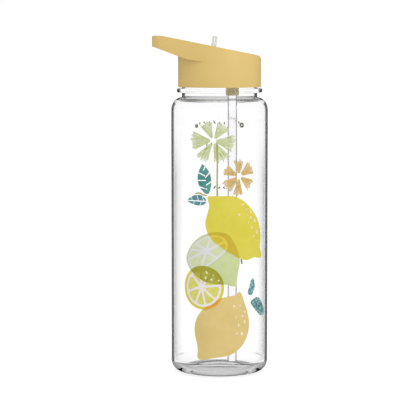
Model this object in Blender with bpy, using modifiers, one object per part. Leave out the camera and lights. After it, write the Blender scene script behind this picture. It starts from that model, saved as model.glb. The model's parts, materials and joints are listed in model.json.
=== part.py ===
"""Clear water bottle with a screw lid, a flip-up spout and a straw.

The frame is in metres, +Z up. The bottle stands on Z = 0, and the origin is the
middle of its bounding box's underside, so the bottle's own axis is at X = AXIS_X.
The lid's beak points to -X, and the spout folds towards +X.
"""

import bmesh
import bpy
from math import cos, hypot, pi, radians, sin, tan
from mathutils import Matrix, Vector

MM = 0.001
SEGMENTS = 48  # facets round the bottle and the lid
SMALL_SEGMENTS = 24  # facets round the straw, its holder and the spout's barrel
WELL_SEGMENTS = 28  # facets round the seal and its well
GAP = 0.3 * MM  # between pieces that touch on the real bottle
CUT_PAST = 3.0 * MM  # how far a cutter runs past the faces it cuts
JOIN = 0.6 * MM  # how deep pieces of one moulding are sunk into each other

# Bottle, from the table up
BODY_RADIUS = 36.0 * MM
BODY_WALL = 2.2 * MM
BODY_HEIGHT = 205.5 * MM  # to the top of the shoulder
BASE_FILLET = 8.0 * MM
BASE_THICKNESS = 3.0 * MM
CONTACT_RING_WIDTH = 4.0 * MM
PUSH_UP = 3.0 * MM  # rise of the base's middle
SHOULDER_DROP = 9.5 * MM
NECK_RADIUS = 28.0 * MM
NECK_WALL = 2.0 * MM
NECK_BELOW_RING = 3.6 * MM
RING_WIDTH = 3.75 * MM
RING_THICKNESS = 3.1 * MM
FINISH_HEIGHT = 12.3 * MM  # threaded neck above the ring

# Screw thread between the neck and the lid
THREAD_PITCH = 5.0 * MM
NECK_THREAD_HEIGHT = 1.0 * MM
LID_THREAD_HEIGHT = 0.95 * MM
THREAD_SPACING = 1.75 * MM  # the lid's ridge lies this far below the neck's
THREAD_LEAD_IN = 0.2 * MM  # plain edge before each ridge
THREAD_RADIAL_CLEARANCE = 0.5 * MM
THREAD_STEPS = 36  # facets in one turn

# Lid
LID_WALL = 1.4 * MM
LID_ROOF = 2.2 * MM
LID_TO_RING = 1.0 * MM
LID_SLOPE = radians(11.4)
LID_LOW_EDGE = 2.0 * MM  # round where the top meets the low side
BEAK_REACH = 49.9 * MM  # from the bottle's axis to the tip
BEAK_FLARE = radians(15.8)  # angle at which the beak's sides leave the round lid
BEAK_CORNER = 9.0 * MM
BEAK_TIP_ROUND = 3.5 * MM
BEAK_TIP_THICKNESS = 9.2 * MM
BEAK_SINK = 0.05 * MM  # of the beak's sides into the round lid
BEAK_UNDERCUT = radians(20.5)
BEAK_RIM = 5.0 * MM
FINGER_SLOT_WIDTH = 26.0 * MM
FINGER_SLOT_CORNER = 5.0 * MM

# Insert, gasket and vent, which close the mouth
INSERT_THICKNESS = 2.0 * MM
PLUG_DEPTH = 7.5 * MM
PLUG_WALL = 1.5 * MM
PLUG_CLEARANCE = 0.5 * MM
GASKET_THICKNESS = 1.7 * MM
GASKET_OVERHANG = 0.6 * MM
VENT_TO_PLUG = 2.0 * MM  # from the valve to the inside of the plug
VENT_STEM_RADIUS = 1.5 * MM
VENT_DISC_RADIUS = 4.5 * MM
VENT_DISC_THICKNESS = 1.2 * MM
VENT_BULB_RADIUS = 2.3 * MM
VENT_BULB_HEIGHT = 1.5 * MM
VENT_HOLE_RADIUS = 0.6 * MM
VENT_HOLES = 4

# Spout: a barrel that turns in the lid's pocket, with a flat oval stem on its side
PIVOT_X = -1.3 * MM  # from the bottle's axis
BARREL_RADIUS = 6.0 * MM
BARREL_LENGTH = 12.4 * MM
BARREL_CLEARANCE = 1.2 * MM  # over the insert's deck
TRUNNION_RADIUS = 1.5 * MM
TRUNNION_LENGTH = 1.6 * MM
TRUNNION_CLEARANCE = 0.2 * MM
STEM_THICKNESS = 3.8 * MM
STEM_WIDTH = 9.0 * MM
STEM_REACH = 14.6 * MM  # from the pivot to the tip
STEM_WALL = 1.1 * MM
STEM_LEAN = radians(8.0)
STEM_RECESS = 0.6 * MM  # of the folded stem below the lid's top
PASSAGE_RADIUS = 2.0 * MM

# Pocket in the lid, and the thumb scoop at its end
POCKET_WALL = 1.6 * MM
POCKET_CORNER = 1.0 * MM
POCKET_CLEARANCE = 0.8 * MM
SCOOP_RADIUS = 16.0 * MM
SCOOP_DEPTH = 3.0 * MM
SCOOP_BACKING = 1.6 * MM

# Seal under the barrel, straw holder and straw
SEAL_RADIUS = 6.2 * MM
SEAL_RISE = 4.7 * MM  # above the insert's deck
WELL_DEPTH = 6.3 * MM
WELL_WALL = 1.5 * MM
STRAW_X = 9.6 * MM  # from the bottle's axis
STRAW_RADIUS = 3.5 * MM
STRAW_WALL = 0.9 * MM
STRAW_OFF_FLOOR = 0.8 * MM
SPIGOT_LENGTH = 6.5 * MM
HOLDER_WALL = 1.1 * MM
HOLDER_LENGTH = 13.8 * MM

# Heights worked out from the sizes above
RING_BOTTOM = BODY_HEIGHT + NECK_BELOW_RING
RING_TOP = RING_BOTTOM + RING_THICKNESS
MOUTH = RING_TOP + FINISH_HEIGHT
LID_BOTTOM = RING_TOP + LID_TO_RING
GASKET_BOTTOM = MOUTH + GAP
DECK_BOTTOM = GASKET_BOTTOM + GASKET_THICKNESS + GAP
DECK_TOP = DECK_BOTTOM + INSERT_THICKNESS
POCKET_BOTTOM = DECK_TOP + GAP
BASE_FLOOR = PUSH_UP + BASE_THICKNESS

# Radii and places worked out from the sizes above
AXIS_X = (BEAK_REACH - BODY_RADIUS) / 2
NECK_BORE = NECK_RADIUS - NECK_WALL
RING_RADIUS = NECK_RADIUS + RING_WIDTH
LID_BORE = NECK_RADIUS + NECK_THREAD_HEIGHT + THREAD_RADIAL_CLEARANCE
LID_RADIUS = LID_BORE + LID_WALL
PLUG_RADIUS = NECK_BORE - PLUG_CLEARANCE
PLUG_INSIDE = PLUG_RADIUS - PLUG_WALL
VENT_X = AXIS_X - PLUG_INSIDE + VENT_TO_PLUG + VENT_DISC_RADIUS
INSERT_RADIUS = LID_BORE - GAP
POCKET_HALF_WIDTH = BARREL_LENGTH / 2 + GAP
STEM_OFFSET = BARREL_RADIUS - STEM_THICKNESS / 2
PIVOT = Vector((AXIS_X + PIVOT_X, 0, DECK_TOP + BARREL_CLEARANCE + BARREL_RADIUS))
PIVOT_DEPTH = STEM_OFFSET + STEM_THICKNESS / 2 + STEM_RECESS
SLOPE_ON_AXIS = PIVOT.z + PIVOT_DEPTH / cos(LID_SLOPE) + PIVOT_X * tan(LID_SLOPE)
STEM_SWEEP = hypot(STEM_REACH, STEM_OFFSET + STEM_THICKNESS / 2)
POCKET_START = PIVOT_X - BARREL_RADIUS - POCKET_CLEARANCE
POCKET_END = PIVOT_X + STEM_SWEEP + POCKET_CLEARANCE
STRAW_PORT = Vector((AXIS_X + STRAW_X, 0, DECK_TOP - WELL_DEPTH))
WELL_X = STRAW_X - SEAL_RADIUS / 2
WELL_RADIUS = SEAL_RADIUS + GAP
WELL_BOTTOM = DECK_TOP - WELL_DEPTH - WELL_WALL
SPIGOT_BORE = STRAW_RADIUS - STRAW_WALL
SPIGOT_BOTTOM = WELL_BOTTOM - SPIGOT_LENGTH
HOLDER_TOP = WELL_BOTTOM - GAP
HOLDER_BOTTOM = HOLDER_TOP - HOLDER_LENGTH
HOLDER_BORE = STRAW_RADIUS + GAP
STRAW_TOP = SPIGOT_BOTTOM - GAP
STRAW_BOTTOM = BASE_FLOOR + STRAW_OFF_FLOOR
LID_THREAD_START = LID_BOTTOM + LID_THREAD_HEIGHT + THREAD_LEAD_IN
NECK_THREAD_START = LID_THREAD_START + THREAD_SPACING
THREAD_RISE = MOUTH - NECK_THREAD_HEIGHT - THREAD_LEAD_IN - NECK_THREAD_START

for old in list(bpy.data.objects):
    bpy.data.objects.remove(old, do_unlink=True)

parts = bpy.data.collections.new("water_bottle")
cutters = bpy.data.collections.new("cutters")
for collection in (parts, cutters):
    bpy.context.scene.collection.children.link(collection)


def slope_height(x):
    """Height of the lid's sloping top at x from the bottle's axis."""
    return SLOPE_ON_AXIS - x * tan(LID_SLOPE)


def material(name, colour, roughness, transmission=0.0, ior=1.5):
    """A Principled material; transmission above 0 makes it clear."""
    made = bpy.data.materials.new(name)
    made.use_nodes = True
    shader = made.node_tree.nodes["Principled BSDF"]
    shader.inputs["Base Color"].default_value = (*colour, 1)
    shader.inputs["Roughness"].default_value = roughness
    shader.inputs["Metallic"].default_value = 0.0
    shader.inputs["Transmission Weight"].default_value = transmission
    shader.inputs["IOR"].default_value = ior
    return made


GLASS = material("clear_glass", (0.97, 0.98, 0.98), 0.03, 1.0, 1.5)
LID_PLASTIC = material("mustard_plastic", (0.72, 0.51, 0.18), 0.45)
CLEAR_PLASTIC = material("clear_plastic", (0.95, 0.95, 0.93), 0.08, 0.9, 1.49)
WHITE_PLASTIC = material("natural_plastic", (0.85, 0.84, 0.80), 0.5)
SILICONE = material("khaki_silicone", (0.36, 0.30, 0.18), 0.6)
CLEAR_SILICONE = material("clear_silicone", (0.80, 0.80, 0.78), 0.5)


def keep(obj, finish):
    """Puts obj with the parts, gives it its material and shades its round sides smooth."""
    cutters.objects.unlink(obj)
    parts.objects.link(obj)
    obj.hide_render = False
    obj.display_type = "TEXTURED"
    obj.data.materials.clear()
    obj.data.materials.append(finish)
    obj.data.shade_smooth()
    obj.data.set_sharp_from_angle(angle=radians(35))


def mesh_object(name, mesh, place=(0, 0, 0)):
    """A new object holding mesh at place. It is a helper until keep() makes it a part."""
    obj = bpy.data.objects.new(name, mesh)
    obj.location = place
    obj.hide_render = True
    obj.display_type = "WIRE"
    cutters.objects.link(obj)
    return obj


def evaluated_mesh(obj):
    """The mesh that obj's modifiers or curve settings make, in obj's own coordinates."""
    bpy.context.view_layer.update()
    graph = bpy.context.evaluated_depsgraph_get()
    return bpy.data.meshes.new_from_object(obj.evaluated_get(graph))


def solid_from_curve(name, curve, place=(0, 0, 0), turn=Matrix()):
    """A closed solid from a curve with filled caps: the caps are welded to the sides."""
    guide = bpy.data.objects.new(name, curve)
    cutters.objects.link(guide)
    mesh = evaluated_mesh(guide)
    bpy.data.objects.remove(guide)
    shape = bmesh.new()
    shape.from_mesh(mesh)
    bmesh.ops.remove_doubles(shape, verts=shape.verts, dist=0.01 * MM)
    bmesh.ops.transform(shape, matrix=turn, verts=shape.verts)
    bmesh.ops.recalc_face_normals(shape, faces=shape.faces)
    shape.to_mesh(mesh)
    shape.free()
    return mesh_object(name, mesh, place)


def turned(name, profile, place=(0, 0, 0), steps=SEGMENTS):
    """A solid turned about Z from a profile of (radius, height) points.

    The profile runs down its outer side and back up its inner side.
    """
    mesh = bpy.data.meshes.new(name)
    pairs = [(i, (i + 1) % len(profile)) for i in range(len(profile))]
    off_axis = [(i, j) for i, j in pairs if profile[i][0] > 0 or profile[j][0] > 0]
    mesh.from_pydata([(radius, 0, height) for radius, height in profile], off_axis, [])
    obj = mesh_object(name, mesh, place)
    screw = obj.modifiers.new("turn", "SCREW")
    screw.steps = screw.render_steps = steps
    screw.use_merge_vertices = True
    screw.merge_threshold = 0.01 * MM
    obj.data = evaluated_mesh(obj)
    obj.modifiers.clear()
    return obj


def rod(name, radius, length, place=(0, 0, 0), direction=(0, 0, 1), steps=SMALL_SEGMENTS):
    """A cylinder with its middle at place and its axis along direction."""
    mesh = bpy.data.meshes.new(name)
    shape = bmesh.new()
    bmesh.ops.create_cone(
        shape, cap_ends=True, segments=steps, radius1=radius, radius2=radius, depth=length
    )
    turn = Vector((0, 0, 1)).rotation_difference(Vector(direction)).to_matrix().to_4x4()
    bmesh.ops.transform(shape, matrix=turn, verts=shape.verts)
    shape.to_mesh(mesh)
    shape.free()
    return mesh_object(name, mesh, place)


def rod_between(name, radius, start, end, steps=SMALL_SEGMENTS):
    """A cylinder from start to end."""
    along = end - start
    return rod(name, radius, along.length, (start + end) / 2, along, steps)


def extruded(name, outline, thickness, place=(0, 0, 0), on_edge=False):
    """A flat outline extruded evenly both ways: along Z, or along Y where it stands on edge."""
    curve = bpy.data.curves.new(name, "CURVE")
    curve.dimensions = "2D"
    curve.fill_mode = "BOTH"
    curve.extrude = thickness / 2
    spline = curve.splines.new("POLY")
    spline.points.add(len(outline) - 1)
    for point, (x, y) in zip(spline.points, outline):
        point.co = (x, y, 0, 1)
    spline.use_cyclic_u = True
    turn = Matrix.Rotation(pi / 2, 4, "X") if on_edge else Matrix()
    return solid_from_curve(name, curve, place, turn)


def boolean(obj, operation, *others):
    """Joins, cuts or intersects obj with others, one after another, and applies it."""
    for other in others:
        step = obj.modifiers.new(other.name, "BOOLEAN")
        step.operation = operation
        step.object = other
    obj.data = evaluated_mesh(obj)
    obj.modifiers.clear()
    for other in others:
        bpy.data.objects.remove(other)
    return obj


def arc(centre, radius, start, end, steps):
    """Points on a circle from one angle to another, both ends included."""
    angles = [start + (end - start) * i / steps for i in range(steps + 1)]
    return [(centre[0] + radius * cos(a), centre[1] + radius * sin(a)) for a in angles]


def rounded_rectangle(low, high, corner, steps=4):
    """A rectangle's outline with round corners, anticlockwise."""
    (x0, y0), (x1, y1) = low, high
    points = []
    for i, (x, y) in enumerate(((x1, y1), (x0, y1), (x0, y0), (x1, y0))):
        centre = (x - corner if x == x1 else x + corner, y - corner if y == y1 else y + corner)
        points += arc(centre, corner, i * pi / 2, (i + 1) * pi / 2, steps)
    return points


def thread_ridge(name, radius, height, start_height):
    """A round-backed helical ridge, half sunk in the wall at that radius."""
    count = int(THREAD_RISE / THREAD_PITCH * THREAD_STEPS)
    curve = bpy.data.curves.new(name, "CURVE")
    curve.dimensions = "3D"
    curve.bevel_depth = height
    curve.bevel_resolution = 1
    curve.use_fill_caps = True
    spline = curve.splines.new("POLY")
    spline.points.add(count)
    for i, point in enumerate(spline.points):
        turn = 2 * pi * i / THREAD_STEPS
        rise = start_height + THREAD_PITCH * i / THREAD_STEPS
        point.co = (radius * cos(turn), radius * sin(turn), rise, 1)
    return solid_from_curve(name, curve, (AXIS_X, 0, 0))



def make_bottle():
    """The clear body: one blown piece with a domed base, a shoulder, a neck ring and a thread."""
    contact = BODY_RADIUS - BASE_FILLET
    inner_radius = BODY_RADIUS - BODY_WALL
    inner_fillet = BASE_FILLET - BODY_WALL / 2
    shoulder = BODY_RADIUS - NECK_RADIUS
    outer = [
        (NECK_RADIUS, MOUTH),
        (NECK_RADIUS, RING_TOP),
        (RING_RADIUS, RING_TOP),
        (RING_RADIUS, RING_BOTTOM),
        (NECK_RADIUS, RING_BOTTOM),
    ]
    shoulder_base = BODY_HEIGHT - SHOULDER_DROP
    for i in range(7):
        angle = pi / 2 * (1 - i / 6)
        outer.append(
            (NECK_RADIUS + shoulder * cos(angle), shoulder_base + SHOULDER_DROP * sin(angle))
        )
    outer += arc((contact, BASE_FILLET), BASE_FILLET, 0, -pi / 2, 6)
    ring_inside = contact - CONTACT_RING_WIDTH
    dome = [(ring_inside * i / 6, PUSH_UP * (1 - (i / 6) ** 2)) for i in range(7)]
    outer += reversed(dome)
    inner = [(radius, height + BASE_THICKNESS) for radius, height in dome]
    floor_edge = inner_radius - inner_fillet
    inner += arc((floor_edge, BASE_THICKNESS + inner_fillet), inner_fillet, -pi / 2, 0, 6)
    inner_shoulder = inner_radius - NECK_BORE
    inner_drop = SHOULDER_DROP - BODY_WALL / 2
    for i in range(7):
        angle = pi / 2 * i / 6
        inner.append(
            (NECK_BORE + inner_shoulder * cos(angle), shoulder_base + inner_drop * sin(angle))
        )
    inner.append((NECK_BORE, MOUTH))
    body = turned("bottle_body", outer + inner, (AXIS_X, 0, 0))
    thread = thread_ridge("neck_thread", NECK_RADIUS, NECK_THREAD_HEIGHT, NECK_THREAD_START)
    keep(boolean(body, "UNION", thread), GLASS)


def beak_plan():
    """The beak seen from above: sides that leave the round lid at a tangent, and round corners."""
    corner_x = BEAK_REACH - BEAK_CORNER
    beside = LID_RADIUS - BEAK_SINK - BEAK_CORNER
    corner_y = (beside - corner_x * sin(BEAK_FLARE)) / cos(BEAK_FLARE)
    leave = pi / 2 + BEAK_FLARE
    start = (LID_RADIUS - BEAK_SINK) * Vector((cos(leave), sin(leave)))
    corner = arc((-corner_x, corner_y), BEAK_CORNER, leave, pi, 5)
    other_corner = arc((-corner_x, -corner_y), BEAK_CORNER, pi, 2 * pi - leave, 5)
    return [tuple(start), *corner, *other_corner, (start.x, -start.y)]


def beak_section():
    """The beak from the side, in X and Z: its underside bends level where its sides begin."""
    tip_bottom = slope_height(-BEAK_REACH) - BEAK_TIP_THICKNESS
    bend_start = -LID_RADIUS
    bend_end = -LID_RADIUS * sin(BEAK_FLARE)
    bend_radius = (bend_end - bend_start) / sin(BEAK_UNDERCUT)
    fall = (BEAK_REACH + bend_start) * tan(BEAK_UNDERCUT)
    level = tip_bottom - fall - bend_radius * (1 - cos(BEAK_UNDERCUT))
    bend_centre = (bend_end, level + bend_radius)
    bend = arc(bend_centre, bend_radius, 1.5 * pi - BEAK_UNDERCUT, 1.5 * pi, 6)
    past = BEAK_REACH + CUT_PAST
    high = slope_height(-past) + CUT_PAST
    return [(-past, tip_bottom + CUT_PAST * tan(BEAK_UNDERCUT)), *bend, (0, level), (0, high),
            (-past, high)]


def lid_section():
    """The whole lid from the side, in X and Z: the sloping top, rounded at both its ends."""
    low_side = LID_BOTTOM - CUT_PAST
    outline = [(-BEAK_REACH, low_side), (LID_RADIUS, low_side)]
    # Each end's arc touches the upright side and the slope.
    radius = LID_LOW_EDGE
    centre_x = LID_RADIUS - radius
    centre = (centre_x, slope_height(centre_x) - radius / cos(LID_SLOPE))
    outline += arc(centre, radius, 0, pi / 2 - LID_SLOPE, 4)
    radius = BEAK_TIP_ROUND
    centre_x = radius - BEAK_REACH
    centre = (centre_x, slope_height(centre_x) - radius / cos(LID_SLOPE))
    return outline + arc(centre, radius, pi / 2 - LID_SLOPE, pi, 6)


def lid_solid():
    """The lid's outside: a round lid and the beak that runs on from it, cut off at a slope."""
    top = slope_height(-BEAK_REACH) + CUT_PAST
    middle = (LID_BOTTOM + top) / 2
    across = 2 * (LID_RADIUS + CUT_PAST)
    place = (AXIS_X, 0, 0)
    beak = extruded("beak", beak_plan(), top - LID_BOTTOM, (AXIS_X, 0, middle))
    boolean(beak, "INTERSECT", extruded("section", beak_section(), across, place, on_edge=True))
    shell = rod("lid_shell", LID_RADIUS, top - LID_BOTTOM, (AXIS_X, 0, middle), steps=SEGMENTS)
    boolean(shell, "UNION", beak)
    outline = extruded("lid_outline", lid_section(), across, place, on_edge=True)
    return boolean(shell, "INTERSECT", outline)


def make_lid_shell():
    """The mustard lid: skirt, sloping top, pocket for the spout and beak with a finger slot."""
    shell = lid_solid()
    hollow_top = slope_height(-LID_BORE) + CUT_PAST
    hollow = rod(
        "hollow", LID_BORE, hollow_top - LID_BOTTOM + CUT_PAST,
        (AXIS_X, 0, (hollow_top + LID_BOTTOM - CUT_PAST) / 2), steps=SEGMENTS,
    )
    roof_drop = LID_ROOF / cos(LID_SLOPE)
    reach = LID_BORE + CUT_PAST
    under_roof = [
        (-reach, LID_BOTTOM - 2 * CUT_PAST),
        (reach, LID_BOTTOM - 2 * CUT_PAST),
        (reach, slope_height(reach) - roof_drop),
        (-reach, slope_height(-reach) - roof_drop),
    ]
    across = 2 * reach
    boolean(
        hollow, "INTERSECT",
        extruded("under_roof", under_roof, across, (AXIS_X, 0, 0), on_edge=True),
    )
    # The walls round the pocket, and the thicker roof under the scoop, stay in the hollow.
    wall_half = POCKET_HALF_WIDTH + POCKET_WALL
    core_low = (POCKET_START - POCKET_WALL, -wall_half)
    core_high = (POCKET_END + POCKET_WALL, wall_half)
    core_height = slope_height(core_low[0]) + CUT_PAST - POCKET_BOTTOM
    core_corner = POCKET_CORNER + POCKET_WALL
    core = extruded(
        "core", rounded_rectangle(core_low, core_high, core_corner), core_height,
        (AXIS_X, 0, POCKET_BOTTOM + core_height / 2),
    )
    boolean(hollow, "DIFFERENCE", core, scoop_ball("scoop_backing", SCOOP_BACKING))
    pocket_height = core_height + 2 * CUT_PAST
    pocket = extruded(
        "pocket",
        rounded_rectangle(
            (POCKET_START, -POCKET_HALF_WIDTH), (POCKET_END, POCKET_HALF_WIDTH), POCKET_CORNER
        ),
        pocket_height,
        (AXIS_X, 0, POCKET_BOTTOM + core_height / 2),
    )
    bearing = rod(
        "bearing", TRUNNION_RADIUS + TRUNNION_CLEARANCE, 2 * (wall_half + JOIN), PIVOT, (0, 1, 0)
    )
    slot_high = -LID_RADIUS - LID_WALL
    slot_low = -BEAK_REACH + BEAK_RIM
    slot_height = slope_height(slot_low) + CUT_PAST - LID_BOTTOM
    slot = extruded(
        "finger_slot",
        rounded_rectangle(
            (slot_low, -FINGER_SLOT_WIDTH / 2), (slot_high, FINGER_SLOT_WIDTH / 2),
            FINGER_SLOT_CORNER,
        ),
        slot_height,
        (AXIS_X, 0, LID_BOTTOM + slot_height / 2),
    )
    boolean(shell, "DIFFERENCE", hollow, pocket, bearing, slot, scoop_ball("scoop", 0.0))
    ridge = thread_ridge("lid_thread", LID_BORE, LID_THREAD_HEIGHT, LID_THREAD_START)
    keep(boolean(shell, "UNION", ridge), LID_PLASTIC)


def scoop_ball(name, extra):
    """A ball that dips SCOOP_DEPTH into the sloping top past the pocket's end."""
    mesh = bpy.data.meshes.new(name)
    shape = bmesh.new()
    bmesh.ops.create_uvsphere(
        shape, u_segments=32, v_segments=16, radius=SCOOP_RADIUS + extra
    )
    shape.to_mesh(mesh)
    shape.free()
    lift = SCOOP_RADIUS - SCOOP_DEPTH
    x = POCKET_END + lift * sin(LID_SLOPE)
    z = slope_height(POCKET_END) + lift * cos(LID_SLOPE)
    return mesh_object(name, mesh, (AXIS_X + x, 0, z))


def make_insert():
    """The inner disc that closes the mouth, with a plug, a well for the seal and a spigot."""
    profile = [
        (0, DECK_TOP),
        (INSERT_RADIUS, DECK_TOP),
        (INSERT_RADIUS, DECK_BOTTOM),
        (PLUG_RADIUS, DECK_BOTTOM),
        (PLUG_RADIUS, DECK_BOTTOM - PLUG_DEPTH),
        (PLUG_INSIDE, DECK_BOTTOM - PLUG_DEPTH),
        (PLUG_INSIDE, DECK_BOTTOM),
        (0, DECK_BOTTOM),
    ]
    insert = turned("lid_insert", profile, (AXIS_X, 0, 0))
    well_axis = AXIS_X + WELL_X
    well_top = DECK_BOTTOM + JOIN
    well = rod(
        "well", WELL_RADIUS + WELL_WALL, well_top - WELL_BOTTOM,
        (well_axis, 0, (well_top + WELL_BOTTOM) / 2), steps=WELL_SEGMENTS,
    )
    spigot_top = WELL_BOTTOM + JOIN
    spigot = rod(
        "spigot", STRAW_RADIUS, spigot_top - SPIGOT_BOTTOM,
        (STRAW_PORT.x, 0, (spigot_top + SPIGOT_BOTTOM) / 2),
    )
    boolean(insert, "UNION", well, spigot)
    well_floor = DECK_TOP - WELL_DEPTH
    well_bore_top = DECK_TOP + CUT_PAST
    well_bore = rod(
        "well_bore", WELL_RADIUS, well_bore_top - well_floor,
        (well_axis, 0, (well_bore_top + well_floor) / 2), steps=WELL_SEGMENTS,
    )
    bore_low = SPIGOT_BOTTOM - CUT_PAST
    bore_high = well_floor + CUT_PAST
    spigot_bore = rod(
        "spigot_bore", SPIGOT_BORE, bore_high - bore_low,
        (STRAW_PORT.x, 0, (bore_high + bore_low) / 2),
    )
    deck_middle = (DECK_TOP + DECK_BOTTOM) / 2
    deck_cut = INSERT_THICKNESS + 2 * CUT_PAST
    seat_place = (VENT_X, 0, deck_middle)
    holes = [rod("vent_seat", VENT_STEM_RADIUS + GAP, deck_cut, seat_place, steps=16)]
    ring = (VENT_STEM_RADIUS + GAP + VENT_DISC_RADIUS) / 2
    for i in range(VENT_HOLES):
        angle = pi / 4 + 2 * pi * i / VENT_HOLES
        place = (VENT_X + ring * cos(angle), ring * sin(angle), deck_middle)
        holes.append(rod(f"air_hole_{i}", VENT_HOLE_RADIUS, deck_cut, place, steps=12))
    keep(boolean(insert, "DIFFERENCE", well_bore, spigot_bore, *holes), WHITE_PLASTIC)


def make_gasket():
    """The flat silicone ring between the insert and the rim of the mouth."""
    outer = NECK_RADIUS + GASKET_OVERHANG
    inner = PLUG_RADIUS + GAP
    top = GASKET_BOTTOM + GASKET_THICKNESS
    profile = [(outer, top), (outer, GASKET_BOTTOM), (inner, GASKET_BOTTOM), (inner, top)]
    keep(turned("mouth_gasket", profile, (AXIS_X, 0, 0)), CLEAR_SILICONE)


def make_vent_valve():
    """The umbrella valve that lets air in as the water is drunk."""
    disc_top = DECK_BOTTOM - GAP
    bulb_bottom = DECK_TOP + GAP
    bulb_top = bulb_bottom + VENT_BULB_HEIGHT
    profile = [
        (0, bulb_top),
        (VENT_STEM_RADIUS, bulb_top),
        (VENT_BULB_RADIUS, bulb_bottom),
        (VENT_STEM_RADIUS, bulb_bottom),
        (VENT_STEM_RADIUS, disc_top),
        (VENT_DISC_RADIUS, disc_top),
        (VENT_DISC_RADIUS, disc_top - VENT_DISC_THICKNESS / 2),
        (VENT_STEM_RADIUS, disc_top - VENT_DISC_THICKNESS),
        (0, disc_top - VENT_DISC_THICKNESS),
    ]
    keep(turned("vent_valve", profile, (VENT_X, 0, 0), SMALL_SEGMENTS), CLEAR_SILICONE)


def stem_frame(along, offset):
    """A point in the spout's middle plane: along the stem from the pivot, and to its right."""
    up = Vector((sin(STEM_LEAN), 0, cos(STEM_LEAN)))
    right = Vector((cos(STEM_LEAN), 0, -sin(STEM_LEAN)))
    return PIVOT + up * along + right * offset


def oval_stem(name, thickness, width, low, high):
    """A flat oval bar along the stem, from low to high above the pivot."""
    side = (width - thickness) / 2
    outline = arc((0, side), thickness / 2, 0, pi, 8) + arc((0, -side), thickness / 2, pi, 2 * pi, 8)
    bar = extruded(name, outline, high - low)
    bar.location = stem_frame((low + high) / 2, -STEM_OFFSET)
    bar.rotation_euler = (0, STEM_LEAN, 0)
    return bar


def make_spout():
    """The clear spout: barrel, trunnions and hollow stem, with the passage down to the seal."""
    barrel = rod("spout", BARREL_RADIUS, BARREL_LENGTH, (0, 0, 0), (0, 1, 0))
    barrel.location = PIVOT
    trunnions = rod(
        "trunnions", TRUNNION_RADIUS, BARREL_LENGTH + 2 * TRUNNION_LENGTH, PIVOT, (0, 1, 0)
    )
    stem = oval_stem("stem", STEM_THICKNESS, STEM_WIDTH, 0, STEM_REACH)
    round_tip(stem)
    boolean(barrel, "UNION", trunnions, stem)
    bore_thickness = STEM_THICKNESS - 2 * STEM_WALL
    bore_width = STEM_WIDTH - 2 * STEM_WALL
    bore = oval_stem("stem_bore", bore_thickness, bore_width, 0, STEM_REACH + CUT_PAST)
    down = (STRAW_PORT - PIVOT).normalized()
    # The passage runs straight through the barrel's middle into the stem's bore.
    upper_end = PIVOT - down * (BARREL_RADIUS - STEM_WALL - PASSAGE_RADIUS / 2)
    passage = rod_between(
        "passage", PASSAGE_RADIUS, upper_end, PIVOT + down * (BARREL_RADIUS + CUT_PAST), 16
    )
    keep(boolean(barrel, "DIFFERENCE", bore, passage), CLEAR_PLASTIC)


def round_tip(stem):
    """Rounds the rim at the stem's tip."""
    shape = bmesh.new()
    shape.from_mesh(stem.data)
    bmesh.ops.dissolve_limit(shape, angle_limit=radians(1), verts=shape.verts, edges=shape.edges)
    highest = max(vertex.co.z for vertex in shape.verts)
    rim = [e for e in shape.edges if all(v.co.z > highest - 0.01 * MM for v in e.verts)]
    bmesh.ops.bevel(
        shape, geom=rim, offset=STEM_WALL * 0.8, segments=3, profile=0.5, affect="EDGES"
    )
    shape.to_mesh(stem.data)
    shape.free()


def make_seal():
    """The silicone seal that hugs the barrel and carries the water from the straw."""
    low = DECK_TOP - WELL_DEPTH + GAP
    high = DECK_TOP + SEAL_RISE
    seal = rod(
        "spout_seal", SEAL_RADIUS, high - low, (AXIS_X + WELL_X, 0, (low + high) / 2),
        steps=WELL_SEGMENTS,
    )
    saddle = rod(
        "saddle", BARREL_RADIUS + GAP, 2 * SEAL_RADIUS + CUT_PAST, PIVOT, (0, 1, 0), SEGMENTS
    )
    down = (STRAW_PORT - PIVOT).normalized()
    passage = rod_between("seal_passage", PASSAGE_RADIUS, PIVOT, STRAW_PORT + down * CUT_PAST, 16)
    keep(boolean(seal, "DIFFERENCE", saddle, passage), CLEAR_SILICONE)


def tube(name, outer, inner, low, high):
    """A straight tube on the straw's axis."""
    profile = [(outer, high), (outer, low), (inner, low), (inner, high)]
    return turned(name, profile, (STRAW_PORT.x, 0, 0), SMALL_SEGMENTS)


def make_straw():
    """The silicone sleeve on the spigot, and the straw pushed up into it."""
    holder = tube("straw_holder", HOLDER_BORE + HOLDER_WALL, HOLDER_BORE, HOLDER_BOTTOM, HOLDER_TOP)
    keep(holder, SILICONE)
    straw = tube("straw", STRAW_RADIUS, STRAW_RADIUS - STRAW_WALL, STRAW_BOTTOM, STRAW_TOP)
    keep(straw, CLEAR_PLASTIC)


make_bottle()
make_lid_shell()
make_insert()
make_gasket()
make_vent_valve()
make_spout()
make_seal()
make_straw()
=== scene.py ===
import json
import random
from math import atan2, cos, degrees, hypot, pi, radians, sin, tan

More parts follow.
